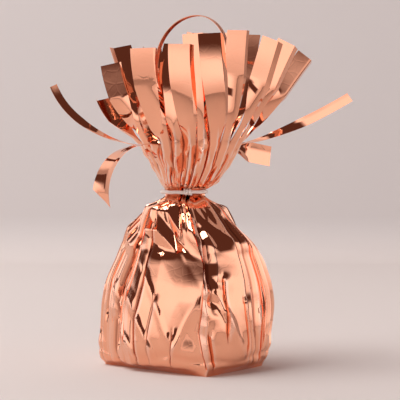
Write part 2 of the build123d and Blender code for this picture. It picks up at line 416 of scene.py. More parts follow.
# %% Mesh helpers and the ribbon's band
def new_piece(name, points, faces, finish):
    """A mesh object at the origin, with its place in its mesh."""
    mesh = bpy.data.meshes.new(name)
    mesh.from_pydata(np.asarray(points).reshape(-1, 3).tolist(), [], faces)
    mesh.update()
    piece = bpy.data.objects.new(name, mesh)
    bpy.context.scene.collection.objects.link(piece)
    mesh.materials.append(finish)
    return piece


def grid_faces(rows, columns, closed=False):
    """The four-sided faces of a grid of points, row by row."""
    last = columns if closed else columns - 1
    faces = []
    for row in range(rows - 1):
        for column in range(last):
            beside = (column + 1) % columns
            here, above = row * columns, (row + 1) * columns
            faces.append((here + column, here + beside, above + beside, above + column))
    return faces


def choose(*pieces):
    """Selects these pieces alone, the first of them active."""
    bpy.ops.object.select_all(action="DESELECT")
    for piece in pieces:
        piece.select_set(True)
    bpy.context.view_layer.objects.active = pieces[0]


def apply_modifier(piece, kind, **settings):
    """Adds a modifier to a piece and applies it, as the panel's Apply does."""
    choose(piece)
    modifier = piece.modifiers.new(kind.lower(), kind)
    for name, value in settings.items():
        setattr(modifier, name, value)
    bpy.ops.object.modifier_apply(modifier=modifier.name)


def smooth_faces(piece, angle):
    """Smooth shading, with edges that turn by more than an angle left sharp."""
    choose(piece)
    bpy.ops.object.shade_smooth_by_angle(angle=math.radians(angle))


def grid_uv(piece, rows, columns):
    """Gives a grid's faces a UV map: across the grid, then along it."""
    layer = piece.data.uv_layers.new(name="film")
    for loop in piece.data.loops:
        row, column = divmod(loop.vertex_index, columns)
        layer.data[loop.index].uv = (column / (columns - 1), row / (rows - 1))


def unit(vectors):
    """Vectors that point the same way, each of length one."""
    return vectors / np.linalg.norm(vectors, axis=-1, keepdims=True)


RIBBON_COLUMNS = 7
RIBBON_CURL = 0.00012
across_shares = np.linspace(-0.5, 0.5, RIBBON_COLUMNS)
ribbon_face = np.cross(unit(np.gradient(ribbon_line, axis=0)), (0.0, 1.0, 0.0))
ribbon_points = ribbon_line[:, None, :] + np.zeros((1, RIBBON_COLUMNS, 3))
ribbon_points[:, :, 1] += across_shares * RIBBON_WIDTH
curl = (1 - (2 * across_shares) ** 2) * RIBBON_CURL
ribbon_points += ribbon_face[:, None, :] * curl[None, :, None]

# The grooves between the ribs are painted darker, as painted shade; the ribs themselves are a real bump.
RIBBON_COLOUR = (0.90, 0.43, 0.28, 1.0)
RIBBON_GROOVE_SHADE_COLOUR = (0.72, 0.27, 0.15, 1.0)
RIB_COUNT = 9.0
RIB_DEPTH = 0.00006
RIB_BUMP = 0.6
RIBBON_ROUGHNESS = 0.22
SMOOTH_ANGLE = 40
satin = new_finish("grooved_ribbon")
across = satin.node("ShaderNodeSeparateXYZ", None, {0: satin.place("UV")}, output="X")
grooves = across.sum("COSINE", across * (RIB_COUNT * 2 * math.pi)) * 0.5 + 0.5
ribbon_colour_with_groove_shade = satin.mix(grooves, RIBBON_GROOVE_SHADE_COLOUR, RIBBON_COLOUR)
rib_bump = satin.bump(grooves, RIB_DEPTH, RIB_BUMP)
satin_foil = satin.surface({
    "Base Color": ribbon_colour_with_groove_shade, "Metallic": 1.0, "Roughness": RIBBON_ROUGHNESS, "Normal": rib_bump,
})

ribbon = new_piece("ribbon_band", ribbon_points, grid_faces(len(ribbon_line), RIBBON_COLUMNS), satin_foil)
grid_uv(ribbon, len(ribbon_line), RIBBON_COLUMNS)
apply_modifier(ribbon, "SOLIDIFY", thickness=RIBBON_THICKNESS, offset=0.0)
smooth_faces(ribbon, SMOOTH_ANGLE)
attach(ribbon, "loop")
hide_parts("ribbon_loop")
print("ribbon faces", len(ribbon.data.polygons))

# %% [markdown]
# ## The sand pouch
# Inside the wrapper the sand is in a plain film pouch, pressed into the block of the bag and heaped
# above it, with a heat-sealed fin on top. It could be left out, since the wrapper hides it,
# but the part keeps every piece that it has, and a cut through it shows what gives it its weight.

# %% The heap's shape
BAG_HALF_LENGTH = 0.0306
BAG_HALF_WIDTH = 0.0226
HEAP_COLUMNS = 96
# The heap's profile: height, and the share of the block's width that is left there
POUCH_PROFILE_SHARES = [
    (0.0018, 0.945), (0.0040, 1.0), (0.0290, 1.0), (0.0388, 0.900), (0.0474, 0.780), (0.0540, 0.650),
    (0.0580, 0.540), (0.0605, 0.420), (0.0618, 0.280), (0.0622, 0.060),
]
SHOULDER_HEIGHT = 0.031
CLOSING_HEIGHT = 0.030
BLOCK_POWER = 5.0
POWER_LOST = 2.4
HEAP_LEVELS = 40


def heap_points(fill):
    """A heap's outline at each level: a rounded block that grows rounder as it closes."""
    turn = np.linspace(0, 2 * math.pi, HEAP_COLUMNS, endpoint=False)
    stops, widths = np.array(POUCH_PROFILE_SHARES).T
    rings = []
    for height in np.interp(np.linspace(0, len(stops) - 1, HEAP_LEVELS), range(len(stops)), stops):
        risen = min(1.0, max(0.0, (height - SHOULDER_HEIGHT) / CLOSING_HEIGHT))
        power = 2 / (BLOCK_POWER - POWER_LOST * risen)
        half = np.interp(height, stops, widths) * fill
        x = BAG_HALF_LENGTH * half * np.sign(np.cos(turn)) * np.abs(np.cos(turn)) ** power
        y = BAG_HALF_WIDTH * half * np.sign(np.sin(turn)) * np.abs(np.sin(turn)) ** power
        rings.append(np.stack([x, y, np.full_like(x, height)], axis=1))
    return np.array(rings)


def heap_piece(name, fill, finish):
    """A heap as a closed mesh, with a flat base and top."""
    faces = grid_faces(HEAP_LEVELS, HEAP_COLUMNS, closed=True)
    faces.append(tuple(reversed(range(HEAP_COLUMNS))))
    faces.append(tuple(range((HEAP_LEVELS - 1) * HEAP_COLUMNS, HEAP_LEVELS * HEAP_COLUMNS)))
    return new_piece(name, heap_points(fill), faces, finish)


print("heap levels", HEAP_LEVELS)

# %% The pouch and its sand
CLEAR_COLOUR = (0.93, 0.94, 0.93, 1.0)
SAND_COLOURS = [(0.0, (0.36, 0.27, 0.17)), (0.5, (0.55, 0.44, 0.29)), (1.0, (0.74, 0.64, 0.47))]
SAND_GRAIN = 1800.0
POUCH_FILL = 0.880
SAND_FILL = 0.865
SEAL_LENGTH = 0.026
SEAL_THICKNESS = 0.0008
SEAL_HEIGHT = 0.005
SEAL_RISE_SHARE = 0.3
SEAL_ROUND = 0.0003
FILM_DEPTH = 0.0003
HAZE_SCALE = 300.0
HAZE_DETAIL = 3.0
HAZE_BUMP = 0.3
HAZE_ROUGHNESS = 0.15
CLEAR_ROUGHNESS = 0.15
CLEAR_SHARE = 0.85
GRAIN_DEPTH = 0.0003
GRAIN_BUMP = 0.7
SAND_ROUGHNESS = 0.9

film_bag = new_finish("clear_pouch_film")
haze = film_bag.noise(film_bag.place(), HAZE_SCALE, HAZE_DETAIL)
haze_bump = film_bag.bump(haze, FILM_DEPTH, HAZE_BUMP)
pouch_film = film_bag.surface({
    "Base Color": CLEAR_COLOUR,
    "Roughness": haze * HAZE_ROUGHNESS + CLEAR_ROUGHNESS,
    "Transmission Weight": CLEAR_SHARE,
    "Normal": haze_bump,
})
grains = new_finish("dry_sand")
grain_cells = {"Vector": grains.place(), "Scale": SAND_GRAIN}
grain = grains.node("ShaderNodeTexVoronoi", None, grain_cells, output="Color")
grain_value = grains.node("ShaderNodeSeparateColor", None, {0: grain})
grain_colour = grains.node("ShaderNodeValToRGB", {"stops": SAND_COLOURS}, {0: grain_value})
grain_bump = grains.bump(grain_value, GRAIN_DEPTH, GRAIN_BUMP)
sand_finish = grains.surface({
    "Base Color": grain_colour, "Roughness": SAND_ROUGHNESS, "Normal": grain_bump,
})

pouch = heap_piece("pouch", POUCH_FILL, pouch_film)
bpy.ops.object.select_all(action="DESELECT")
seal_middle = POUCH_PROFILE_SHARES[-1][0] + SEAL_HEIGHT * SEAL_RISE_SHARE
bpy.ops.mesh.primitive_cube_add(size=1.0, location=(0.0, 0.0, seal_middle))
seal = bpy.context.object
seal.scale = (SEAL_LENGTH, SEAL_THICKNESS, SEAL_HEIGHT)
bpy.ops.object.transform_apply(location=True, rotation=True, scale=True)
apply_modifier(seal, "BEVEL", width=SEAL_ROUND, segments=2)
choose(pouch, seal)
bpy.ops.object.join()
smooth_faces(pouch, SMOOTH_ANGLE)
sand = heap_piece("sand_fill", SAND_FILL, sand_finish)
smooth_faces(sand, SMOOTH_ANGLE)
for piece, node, slot in ((pouch, "sand_pouch", "pouch"), (sand, "sand_ballast", "sand")):
    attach(piece, "weight")
    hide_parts(node)
print("pouch faces", len(pouch.data.polygons), "sand faces", len(sand.data.polygons))

# %% [markdown]
# ## The pleats
# Where the tie draws the film in, the spare width stands in pleats, one to each strip of the fringe.
# The pleats differ a little, as fingers make them. Their ridges and valleys at the neck and at the rim
# are worked out first, because the film below and the strips above both start from them.

# %% Pleats at the neck and the rim
PLEATS = 22
FIRST_BEARING = -math.pi / 2 + 2 * math.pi * 3 / PLEATS
TIE_HEIGHT = 0.0745
NECK_RADIUS = 0.0090
NECK_PLEAT_DEPTH = 0.0034
NECK_CROWDING = 0.5
NECK_CROWDS = 5
RIM_HEIGHT = 0.0942
RIM_HALF_LENGTH = 0.0234
RIM_HALF_WIDTH = 0.0192
RIM_PLEAT_DEPTH = 0.0036
RIM_SWAY = 0.0030
NECK_SWAY = 0.0006
SWAY = np.array(TO_RIGHT)

# The least and the most that a pleat's valley and its ridge lie in, as shares of the pleats' depth
RIM_VALLEY_SHARES = (0.6, 1.0)
RIM_RIDGE_SHARES = (0.0, 0.22)
NECK_VALLEY_SHARES = (0.2, 1.0)
NECK_RIDGE_SHARES = (0.0, 0.35)

pleat_random = np.random.default_rng(11)
valley_share = pleat_random.uniform(*RIM_VALLEY_SHARES, PLEATS)
ridge_share = pleat_random.uniform(*RIM_RIDGE_SHARES, PLEATS)
neck_valley_share = pleat_random.uniform(*NECK_VALLEY_SHARES, PLEATS)
neck_ridge_share = pleat_random.uniform(*NECK_RIDGE_SHARES, PLEATS)


def pleat_depth(phase, valley_share, ridge_share):
    """How far in a pleat's fold lies, as a share: small at the ridges, most in the valleys."""
    nearest = np.round(phase)
    valley = 2 * np.abs(phase - nearest)
    deep = valley_share[np.floor(phase).astype(int) % PLEATS]
    proud = ridge_share[nearest.astype(int) % PLEATS]
    return valley * deep + (1 - valley) * proud


def pleat_bearing(phase):
    """The bearing of a pleat, seen from the middle of the bag."""
    return FIRST_BEARING + 2 * math.pi * phase / PLEATS


def neck_depth(phase):
    """The depth of the neck's pleats, which stand closer together at a few places."""
    crowded = phase + NECK_CROWDING * np.sin(2 * math.pi * phase * NECK_CROWDS / PLEATS + 1.0)
    return pleat_depth(crowded, neck_valley_share, neck_ridge_share)


def neck_points(phase, height):
    """The film round the neck, under the tie."""
    radius = NECK_RADIUS - NECK_PLEAT_DEPTH * neck_depth(phase)
    bearing = pleat_bearing(phase)
    x, y = radius * np.cos(bearing), radius * np.sin(bearing)
    return np.stack([x, y, np.full_like(phase, height)], axis=-1) + SWAY * NECK_SWAY


def rim_points(phase):
    """The collar's rim, where the slits end."""
    depth = RIM_PLEAT_DEPTH * pleat_depth(phase, valley_share, ridge_share)
    bearing = pleat_bearing(phase)
    x = (RIM_HALF_LENGTH - depth) * np.cos(bearing)
    y = (RIM_HALF_WIDTH - depth) * np.sin(bearing)
    return np.stack([x, y, np.full_like(phase, RIM_HEIGHT)], axis=-1) + SWAY * RIM_SWAY


print("pleats", PLEATS, "deepest", round(float(valley_share.max() * RIM_PLEAT_DEPTH), 4))

# %% [markdown]
# ## The wrapper's film
# The wrapper is one sheet: a sleeve of film round the sand, folded under at the base, gathered at the neck.
# A cloth simulation could drape it, but stiff film doesn't drape: it breaks into flat panels and straight
# creases that run from the tie to the corners. So the film is first a grid of points on the bag's plain
# round, and then every crease is added to it as a height, from a few rules and two short lists.

# %% The bag's plain round
COLUMNS_PER_PLEAT = 16
COLUMNS = PLEATS * COLUMNS_PER_PLEAT
BODY_ROWS = 98
COLLAR_ROWS = 26
EASING_ROWS = 13
# Height, half length and half width of the block, and how far its outline is eased to an ellipse
BAG_LEVELS = [
    (0.0000, 0.0280, 0.0194, 0.05), (0.0030, 0.0288, 0.0207, 0.10), (0.0090, 0.0295, 0.0218, 0.17),
    (0.0180, 0.0295, 0.0218, 0.22), (0.0270, 0.0291, 0.0216, 0.25), (0.0360, 0.0279, 0.0210, 0.30),
    (0.0460, 0.0255, 0.0194, 0.42), (0.0550, 0.0223, 0.0175, 0.58), (0.0612, 0.0188, 0.0154, 0.74),
    (0.0655, 0.0160, 0.0138, 0.86), (0.0694, 0.0134, 0.0124, 0.93), (0.0727, 0.0116, 0.0111, 0.98),
    (0.0737, 0.0092, 0.0090, 1.00),
]
LEFT_CORNER_SHARE = 0.7124
RIGHT_CORNER_SHARE = 0.2124
BACK_CORNER_SHARE = 0.5
CIRCLE_RADIUS = 1.12
PROFILE_STEPS = 600
PROFILE_WINDOW = 61
SAG = 0.0046
SAG_HEIGHT = 0.0045
SAG_REACH = 0.030
# A wander of the film's columns: its reach as a share of the girth, its waves, its pitch and its start
WANDER_SHARES = [(0.0030, 3, 95, 0.0), (0.0020, 7, 210, 1.0)]
ZIGZAG_HEIGHTS = (0.0, 0.018, 0.030, 0.038, 0.045, 0.056)
ZIGZAG_SHARES = (0.0, -0.016, -0.010, -0.003, 0.003, -0.008)
ZIGZAG_SPAN_SHARE = 0.07
FRONT_PHASE = (FIRST_BEARING - math.atan2(-BAG_HALF_WIDTH, BAG_HALF_LENGTH)) / (2 * math.pi) * PLEATS

film_phase = np.arange(COLUMNS) / COLUMNS_PER_PLEAT
film_share = np.mod((film_phase + FRONT_PHASE) / PLEATS, 1.0)


def eased(share):
    """A share that starts and ends gently."""
    share = np.clip(share, 0, 1)
    return share * share * (3 - 2 * share)


def bell(offset):
    """A share that is one in the middle and fades gently on both sides."""
    return np.exp(-offset ** 2)


def away_from(share, place):
    """How far round the bag a share is from a place, the short way."""
    return np.mod(share - place + 0.5, 1.0) - 0.5


def block_outline(share):
    """A square of half-size one, from the front corner round, and the circle that its corners ease to."""
    girth = 4 * (BAG_HALF_LENGTH + BAG_HALF_WIDTH)
    side = 2 * BAG_HALF_WIDTH / girth
    front = 2 * BAG_HALF_LENGTH / girth
    stops = np.cumsum([0.0, side, front, side, front])
    x = np.interp(share, stops, [1, 1, -1, -1, 1])
    y = np.interp(share, stops, [-1, 1, 1, -1, -1])
    turn = np.arctan2(y, x)
    return np.stack([x, y], axis=-1), CIRCLE_RADIUS * np.stack([np.cos(turn), np.sin(turn)], axis=-1)


def bag_profile():
    """The bag's levels, smoothed and spaced evenly along the film."""
    levels = np.array(BAG_LEVELS)
    fine = np.linspace(0, len(levels) - 1, PROFILE_STEPS)
    profile = np.stack([np.interp(fine, range(len(levels)), levels[:, k]) for k in range(4)], axis=1)
    window = np.hanning(PROFILE_WINDOW) / np.hanning(PROFILE_WINDOW).sum()
    for k in range(4):
        padded = np.pad(profile[:, k], PROFILE_WINDOW // 2, mode="reflect", reflect_type="odd")
        profile[:, k] = np.convolve(padded, window, mode="valid")
    gone = np.concatenate([[0.0], np.cumsum(np.hypot(np.diff(profile[:, 0]), np.diff(profile[:, 1])))])
    even = np.linspace(0, gone[-1], BODY_ROWS)
    return np.stack([np.interp(even, gone, profile[:, k]) for k in range(4)], axis=1)


def sagged(ring, share, height):
    """A level of the bag with its four sides swollen, most just above the base."""
    stops = np.array([0.0, RIGHT_CORNER_SHARE, BACK_CORNER_SHARE, LEFT_CORNER_SHARE, 1.0])
    side = np.clip(np.searchsorted(stops, share, side="right") - 1, 0, 3)
    middle = np.sin(math.pi * (share - stops[side]) / (stops[side + 1] - stops[side]))
    rise = eased(height / SAG_HEIGHT) * bell(max(0.0, height - SAG_HEIGHT) / SAG_REACH)
    outward = np.array([(1.0, 0.0), (0.0, 1.0), (-1.0, 0.0), (0.0, -1.0)])[side]
    return ring + outward * (SAG * rise * middle)[:, None]


def wandering_share(height):
    """The film's columns at one height: they sway from side to side, and the creases follow them."""
    sway = sum(reach * np.sin(2 * waves * math.pi * film_share + pitch * height + start)
               for reach, waves, pitch, start in WANDER_SHARES)
    zigzag = np.interp(height, ZIGZAG_HEIGHTS, ZIGZAG_SHARES)
    near_front = bell(away_from(film_share, 0.0) / ZIGZAG_SPAN_SHARE)
    return np.mod(film_share + sway + zigzag * near_front, 1.0)


def plain_round():
    """The film's rows from the base to the tie, before it is creased."""
    rows = []
    for height, half_length, half_width, easing in bag_profile():
        share = wandering_share(height)
        square, circle = block_outline(share)
        ring = sagged(((1 - easing) * square + easing * circle) * (half_length, half_width), share, height)
        rows.append(np.concatenate([ring, np.full((COLUMNS, 1), height)], axis=1))
    return np.array(rows)


plain_film = plain_round()
print("plain film", plain_film.shape, "top", round(float(plain_film[-1, 0, 2]), 4))

# %% The creases' sizes
FAN_PLEATS = 12
FAN_STEP_SHARES = (0.009, 0.020)
FAN_DEPTHS = (0.0012, 0.0026)
FAN_TOP = 0.072
FAN_FEET = (0.0005, 0.0005, 0.008, 0.020)
FAN_WIDTHS = (1.0, 2.0, 3.0)
FAN_LIP_SHARE = 0.35
FAN_LEAN_SHARE = 0.12
LIP_COLUMNS = 8
CREASE_FOOT_FADE = 0.008
CREASE_TOP_FADE = 0.005
CREASE_FOOT_SHARE = 0.25
SOFT_SPAN_SHARE = 0.011
SOFT_FOOT_FADE = 0.006
SOFT_TOP_FADE = 0.010
SOFT_FOOT_SHARE = 0.3
# A lattice of facets: its corners round the bag, its corners up it, and its seed
PANEL_LATTICE = (15, 5, 31)
PANEL_DEPTH = 0.00050
SWING_SHARE = 0.015
RIPPLE_SHARE = 0.006
CAP_LATTICE = (22, 9, 5)
CAP_DEPTH = 0.0011
CAP_FOOT = 0.046
CAP_FOOT_FADE = 0.008
CAP_TOP = 0.066
CAP_TOP_FADE = 0.006
CRUMPLE_LATTICE = (46, 22, 37)
CRUMPLE_DEPTH = 0.0008
CRUMPLE_SHARE = 0.028
CRUMPLE_SPAN_SHARE = 0.022
CRUMPLE_HEIGHT = 0.031
CRUMPLE_REACH = 0.011
LATTICE_SHARE = 0.998
GATHER_DEPTH = 0.0016
GATHER_REACH = 0.024
HEEL_HEIGHT = 0.0062
HEEL_WANDER = 0.0016
HEEL_DEPTH = 0.0005
HEEL_REACH = 0.0013
BASE_EDGE = 0.0003
BASE_FADE = 0.003
# A soft fold: its share round the bag at its top, its top, its share at its foot, its foot and its height
SOFT_FOLDS = [
    (0.742, 0.042, 0.842, 0.004, 0.0007), (0.772, 0.047, 0.892, 0.006, 0.0005),
    (0.815, 0.050, 0.925, 0.012, 0.0004), (0.985, 0.030, 0.915, 0.003, 0.0005),
    (0.030, 0.036, 0.095, 0.004, 0.0005), (0.165, 0.040, 0.105, 0.004, 0.0005),
    (0.245, 0.042, 0.335, 0.004, 0.0007), (0.300, 0.047, 0.400, 0.008, 0.0005),
    (0.475, 0.034, 0.415, 0.004, 0.0005), (0.525, 0.042, 0.600, 0.004, 0.0007),
    (0.690, 0.036, 0.630, 0.004, 0.0005),
]
# A crease: its share round the bag, its top and foot, its depth, its half width in columns and its lip
CREASES = [
    (0.9990, 0.0715, 0.0010, 0.0008, 1.0, 0.0013), (0.0200, 0.0630, 0.0340, 0.0024, 7.0, 0.0006),
    (0.8400, 0.0630, 0.0010, 0.0011, 1.5, 0.0010), (0.8060, 0.0560, 0.0010, 0.0013, 1.5, 0.0008),
    (0.8750, 0.0340, 0.0010, 0.0007, 1.0, 0.0006), (0.9280, 0.0200, 0.0010, 0.0006, 1.0, 0.0005),
    (0.0520, 0.0420, 0.0130, 0.0010, 1.0, 0.0008), (0.0990, 0.0330, 0.0060, 0.0010, 1.0, 0.0008),
    (0.1180, 0.0640, 0.0010, 0.0012, 1.5, 0.0009), (0.0180, 0.0200, 0.0010, 0.0009, 1.0, 0.0007),
    (0.7700, 0.0240, 0.0010, 0.0014, 2.0, 0.0010), (0.1500, 0.0170, 0.0040, 0.0012, 1.5, 0.0010),
    (0.1900, 0.0140, 0.0020, 0.0010, 1.5, 0.0009),
]
print("creases", len(CREASES), "soft folds", len(SOFT_FOLDS), "fan pleats", FAN_PLEATS)

# %% The creases
def facets(share, rise, across, up, seed):
    """Flat creased facets: heights at the corners of a lattice, joined by flat triangles."""
    heights = np.random.default_rng(seed).normal(0, 1, (up + 2, across))
    x, y = share * across, rise * up
    column, row = np.floor(x).astype(int), np.floor(y).astype(int)
    x, y = x - column, y - row
    beside = (column + 1) % across
    column = column % across
    a, b = heights[row, column], heights[row, beside]
    c, d = heights[row + 1, column], heights[row + 1, beside]
    lower = a + (b - a) * x + (c - a) * y
    upper = d + (c - d) * (1 - x) + (b - d) * (1 - y)
    return np.where(x + y < 1, lower, upper)


def columns_from(first):
    """How many columns each column of the film is from a first one, the short way round."""
    return np.mod(np.arange(COLUMNS) - first + COLUMNS // 2, COLUMNS) - COLUMNS // 2


def lapped_fold(level, place, top, foot, depth, half_columns, lip):
    """A narrow groove down a column of the film, with the film on one side of it standing up as a lip."""
    first = int(np.argmin(np.abs(away_from(film_share, place))))
    steps = columns_from(first)
    lasting = eased((level - foot) / CREASE_FOOT_FADE + CREASE_FOOT_SHARE)
    lasting = lasting * eased((top - level) / CREASE_TOP_FADE)
    turns = np.array([-1, 0, 1, LIP_COLUMNS]) * half_columns
    return lasting * np.interp(steps, turns, (0.0, -depth, lip, 0.0))


def soft_fold(level, top_place, top, foot_place, foot, height):
    """A soft ridge that slants across the film."""
    centre = foot_place + (top_place - foot_place) * np.clip((level - foot) / (top - foot), 0, 1)
    lasting = eased((level - foot) / SOFT_FOOT_FADE + SOFT_FOOT_SHARE)
    lasting = lasting * eased((top - level) / SOFT_TOP_FADE)
    return height * lasting * np.maximum(0, 1 - np.abs(away_from(film_share, centre)) / SOFT_SPAN_SHARE)


def fan_creases(level):
    """Uneven lapped pleats from the neck down the upright edges."""
    chance = np.random.default_rng(23)
    height = np.zeros_like(level)
    for corner, facing in ((LEFT_CORNER_SHARE, 1.0), (RIGHT_CORNER_SHARE, -1.0), (BACK_CORNER_SHARE, 1.0)):
        places = np.cumsum(chance.uniform(*FAN_STEP_SHARES, FAN_PLEATS))
        places = corner + places - places[-1] * (0.5 - FAN_LEAN_SHARE * facing)
        for place in places:
            depth = chance.uniform(*FAN_DEPTHS)
            foot = chance.choice(FAN_FEET)
            width = chance.choice(FAN_WIDTHS)
            height += lapped_fold(level, place, FAN_TOP, foot, depth, width, FAN_LIP_SHARE * depth)
    return height


def facet_heights(share, level):
    """Broad facets all over, smaller ones on the cap, and a crumpled place beside the front edge."""
    rise = level / TIE_HEIGHT * LATTICE_SHARE
    swing = SWING_SHARE * np.sin(9 * rise)
    swung = np.mod(share + swing + RIPPLE_SHARE * np.sin(2 * math.pi * (5 * share + 2 * rise)), 1.0)
    cap = eased((level - CAP_FOOT) / CAP_FOOT_FADE) * (1 - eased((level - CAP_TOP) / CAP_TOP_FADE))
    across = away_from(share, CRUMPLE_SHARE) / CRUMPLE_SPAN_SHARE
    near = np.exp(-across ** 2 - ((level - CRUMPLE_HEIGHT) / CRUMPLE_REACH) ** 2)
    height = PANEL_DEPTH * facets(swung, rise, *PANEL_LATTICE)
    height = height + CAP_DEPTH * cap * facets(swung, rise, *CAP_LATTICE)
    return height + CRUMPLE_DEPTH * near * facets(share, rise, *CRUMPLE_LATTICE)


def heel_depth(share, level):
    """The crease just above the base, which wanders up and down."""
    wander = np.sin(2 * math.pi * (7 * share + 0.3)) * np.sin(2 * math.pi * 3 * share)
    return HEEL_DEPTH * bell((level - HEEL_HEIGHT - HEEL_WANDER * wander) / HEEL_REACH)


def creased(points):
    """The plain film with its pleats, folds, facets and gathers."""
    level = points[:, :, 2]
    share = np.broadcast_to(film_share, level.shape)
    around = np.roll(points, -1, axis=1) - np.roll(points, 1, axis=1)
    outward = unit(np.cross(around, np.gradient(points, axis=0)))
    height = fan_creases(level)
    for crease in CREASES:
        height = height + lapped_fold(level, *crease)
    for fold in SOFT_FOLDS:
        height = height + soft_fold(level, *fold)
    height = height + facet_heights(share, level)
    gathered = eased(1 - (TIE_HEIGHT - level) / GATHER_REACH)
    height = height - GATHER_DEPTH * gathered * neck_depth(np.broadcast_to(film_phase, level.shape))
    height = height - heel_depth(share, level)
    height = height * eased((level - BASE_EDGE) / BASE_FADE)
    return points + outward * height[:, :, None]


body_film = creased(plain_film)
print("creased by up to", round(float(np.abs(body_film - plain_film).max()), 4))

# %% The gathered collar
COLLAR_WRINKLES = 46
WRINKLE_STEPS = (4, 11)
WRINKLE_DEPTHS = (0.0004, 0.0013)
WRINKLE_END_SHARES = (0.45, 1.1)
WRINKLE_FOOT_SHARE = 0.1
WRINKLE_TOP_SHARE = 0.3
WRINKLE_COLUMNS = (-2, 0, 1, 5)
WRINKLE_SHARES = (0.0, 1.0, -0.5, 0.0)
COLLAR_LATTICE = (66, 6, 43)
COLLAR_CRUMPLE = 0.0005
COLLAR_FOOT_SHARE = 0.15
COLLAR_TOP_SHARE = 0.2
COLLAR_LEAN_SHARE = 0.35
COLLAR_PUFF_SHARE = 0.40
TIE_HALF_HEIGHT = 0.0008
MARK_COLUMNS = 3
MARK_DEPTH = 0.0004


def collar_grooves():
    """How far in the collar's wrinkles lie: narrow grooves from the tie that end at different heights."""
    chance = np.random.default_rng(41)
    opening = np.linspace(0, 1, COLLAR_ROWS)[:, None]
    inward = np.zeros((COLLAR_ROWS, COLUMNS))
    for first in np.cumsum(chance.integers(*WRINKLE_STEPS, COLLAR_WRINKLES)):
        depth = chance.uniform(*WRINKLE_DEPTHS)
        lasting = eased((chance.uniform(*WRINKLE_END_SHARES) - opening) / WRINKLE_TOP_SHARE)
        lasting = lasting * eased(opening / WRINKLE_FOOT_SHARE)
        inward += depth * lasting * np.interp(columns_from(first), WRINKLE_COLUMNS, WRINKLE_SHARES)
    share, rise = np.meshgrid(film_share, opening[:, 0] * LATTICE_SHARE)
    lasting = eased(opening / COLLAR_FOOT_SHARE) * eased((1 - opening) / COLLAR_TOP_SHARE)
    inward += COLLAR_CRUMPLE * facets(share, rise, *COLLAR_LATTICE) * lasting
    return inward[:, :, None]


def tied_film(body):
    """The creased film drawn in to the tie, and the collar above it, opening to the rim."""
    draw = eased(np.linspace(0, 1, EASING_ROWS))[:, None, None] ** 2
    level = np.linspace(body[-EASING_ROWS, :, 2].mean(), TIE_HEIGHT - TIE_HALF_HEIGHT, EASING_ROWS)
    neck = np.array([neck_points(film_phase, height) for height in level])
    drawn = np.concatenate([body[:-EASING_ROWS], (1 - draw) * body[-EASING_ROWS:] + draw * neck])
    held = np.array([neck_points(film_phase, TIE_HEIGHT + step) for step in (0.0, TIE_HALF_HEIGHT)])
    opening = np.linspace(0, 1, COLLAR_ROWS + 1)[1:, None, None]
    rim = rim_points(film_phase)
    lean = np.clip(rim @ SWAY / RIM_HALF_LENGTH, 0, 1)[None, :, None]
    puff = np.clip(np.abs(rim @ np.array(TO_CAMERA)) / RIM_HALF_WIDTH, 0, 1)[None, :, None]
    spread = opening ** (1 - COLLAR_LEAN_SHARE * lean - COLLAR_PUFF_SHARE * puff ** 2)
    opened = np.concatenate([spread, spread, opening + 0 * spread], axis=2)
    inward = unit((held[-1] - SWAY * NECK_SWAY) * (-1.0, -1.0, 0.0))
    collar = held[-1] + (rim - held[-1]) * opened + inward * collar_grooves()
    return np.concatenate([drawn, held, collar])


def fold_marks(points):
    """How far each point of the film lies below those round it, as a share: below zero on a ridge."""
    radius = np.linalg.norm(points[:, :, :2], axis=2)
    round_it = sum(np.roll(radius, step, axis=1) for step in range(-MARK_COLUMNS, MARK_COLUMNS + 1))
    return np.clip((round_it / (2 * MARK_COLUMNS + 1) - radius) / MARK_DEPTH, -1, 1)


def mark_folds(piece, marks):
    """Writes the folds on a piece's points, where its finish reads them."""
    layer = piece.data.attributes.new("fold", "FLOAT", "POINT")
    layer.data.foreach_set("value", np.asarray(marks, dtype=np.float32).ravel())


film_points = tied_film(body_film)
film_marks = fold_marks(film_points)
print("film", film_points.shape)

# %% The wrapper
BASE_SHARES = [0.0, 0.35, 0.7, 0.93]
BASE_LIFT = 0.0004
BULGE = 0.0042
BULGE_HEIGHT = 0.033
BULGE_REACH = 0.021
BULGE_SPAN = 0.035
SHOULDER_SHIFT = 0.0013
SHIFT_HEIGHT = 0.052
SHIFT_REACH = 0.013
FILM_THICKNESS = 0.00015
WELD_REACH = 0.000001
WRAPPER_SMOOTH_ANGLE = 60


def swollen(points):
    """The film with the sand's weight slumped towards one side."""
    lean = np.clip(points @ SWAY / BULGE_SPAN, 0, 1)
    rise = bell((points[:, :, 2] - BULGE_HEIGHT) / BULGE_REACH)
    shift = SHOULDER_SHIFT * bell((points[:, :, 2] - SHIFT_HEIGHT) / SHIFT_REACH)
    return points + SWAY * (BULGE * lean * rise + shift)[:, :, None]


def wrapper_piece(points):
    """The film, closed under the base and given its thickness."""
    under = [points[0] * (share, share, 1.0) + (0.0, 0.0, BASE_LIFT * (1 - share)) for share in BASE_SHARES]
    rows = np.concatenate([np.array(under), points])
    faces = grid_faces(len(rows), COLUMNS, closed=True)
    wrapper = new_piece("foil_bag", rows, faces, BAG_FOIL)
    mark_folds(wrapper, np.concatenate([np.zeros((len(under), COLUMNS)), film_marks]))
    choose(wrapper)
    bpy.ops.object.mode_set(mode="EDIT")
    bpy.ops.mesh.select_all(action="SELECT")
    bpy.ops.mesh.remove_doubles(threshold=WELD_REACH)
    bpy.ops.object.mode_set(mode="OBJECT")
    apply_modifier(wrapper, "SOLIDIFY", thickness=FILM_THICKNESS, offset=-1.0)
    smooth_faces(wrapper, WRAPPER_SMOOTH_ANGLE)
    return wrapper


wrapper = wrapper_piece(swollen(film_points))
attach(wrapper, "weight")
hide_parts("foil_wrapper")
print("wrapper faces", len(wrapper.data.polygons))

